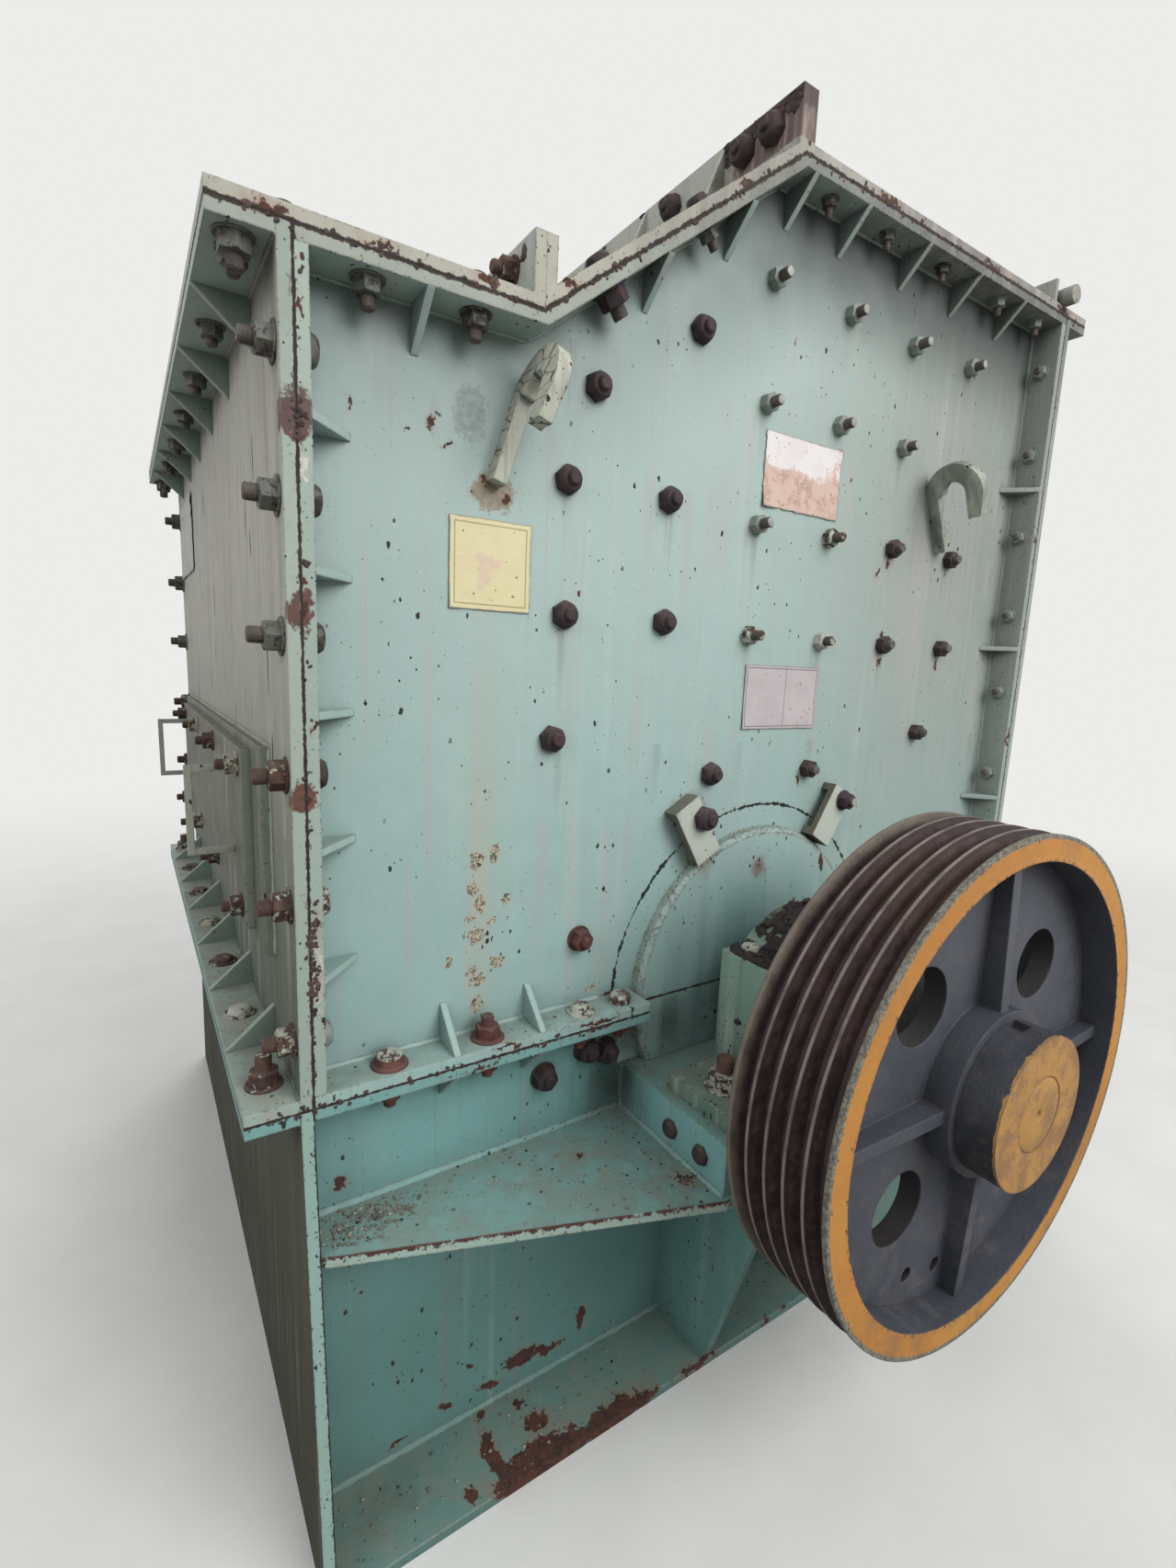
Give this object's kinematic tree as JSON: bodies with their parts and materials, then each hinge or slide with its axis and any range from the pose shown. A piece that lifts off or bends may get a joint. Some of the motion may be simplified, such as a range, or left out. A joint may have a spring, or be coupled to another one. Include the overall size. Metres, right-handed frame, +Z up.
{
  "type": "hammer crusher",
  "caption": "Stone crusher with a welded plate housing on an open base, a stepped bolted roof, and a hammer rotor in outboard bearings, driven by a grooved pulley.",
  "frame": {"origin": "centre of the open discharge, on the floor, midway along and across the housing", "axes": "+Z up; X along the side walls, the low end of the roof at -X; the pulley side faces -Y"},
  "size_m": [2.183, 2.618, 2.632],
  "materials": {
    "base_paint": "teal green paint, chipped to rust and dusty",
    "housing_paint": "pale sea green paint, faded, with small rust chips",
    "roof_paint": "pale green paint, chipped at its edges to red brown rust",
    "bearing_paint": "green paint over cast iron, worn and greasy",
    "wear_steel": "worn manganese steel with brown rust",
    "rotor_steel": "machined steel, lightly rusted",
    "pulley_paint": "dark slate paint inside, orange yellow on the rim's face, rusty grooves",
    "hub_paint": "slate paint with a chipped orange yellow face"
  },
  "bodies": {
    "housing": {"base_front_wall": "base_paint", "base_rear_wall": "base_paint", "base_left_end": "base_paint", "base_right_end": "base_paint", "foot_flanges": "base_paint", "base_split_flange": "base_paint", "front_shelf": "base_paint", "rear_shelf": "base_paint", "shelf_gussets": "base_paint", "front_pedestal": "base_paint", "rear_pedestal": "base_paint", "upper_front_wall": "housing_paint", "upper_rear_wall": "housing_paint", "upper_left_end": "housing_paint", "upper_right_end": "housing_paint", "corner_flanges": "housing_paint", "upper_split_flange": "housing_paint", "top_flange": "housing_paint", "front_gussets": "housing_paint", "rear_gussets": "housing_paint", "left_end_gussets": "housing_paint", "right_end_gussets": "housing_paint", "upper_shaft_covers": "housing_paint", "lower_shaft_covers": "housing_paint", "cover_clamps": "housing_paint", "hatch_frame": "housing_paint", "inspection_cover": "housing_paint", "cover_handles": "housing_paint", "lifting_hooks": "housing_paint", "low_roof_cover": "roof_paint", "slope_roof_cover": "roof_paint", "high_roof_cover": "roof_paint", "feed_inlet_frame": "roof_paint", "front_bearing": "bearing_paint", "rear_bearing": "bearing_paint", "front_wear_tiles": "wear_steel", "rear_wear_tiles": "wear_steel"},
    "rotor": {"rotor_shaft": "rotor_steel", "rotor_discs": "rotor_steel", "hammer_pins": "rotor_steel", "hammers": "wear_steel", "pulley_rim": "pulley_paint", "pulley_web": "pulley_paint", "hub_collar": "hub_paint"}
  },
  "joints": [
    {"name": "rotor_spin", "type": "hinge", "parent": "housing", "child": "rotor", "pos_m": [0.0385, 0, 0.855], "axis": [0, 1, 0], "continuous": true}
  ]
}
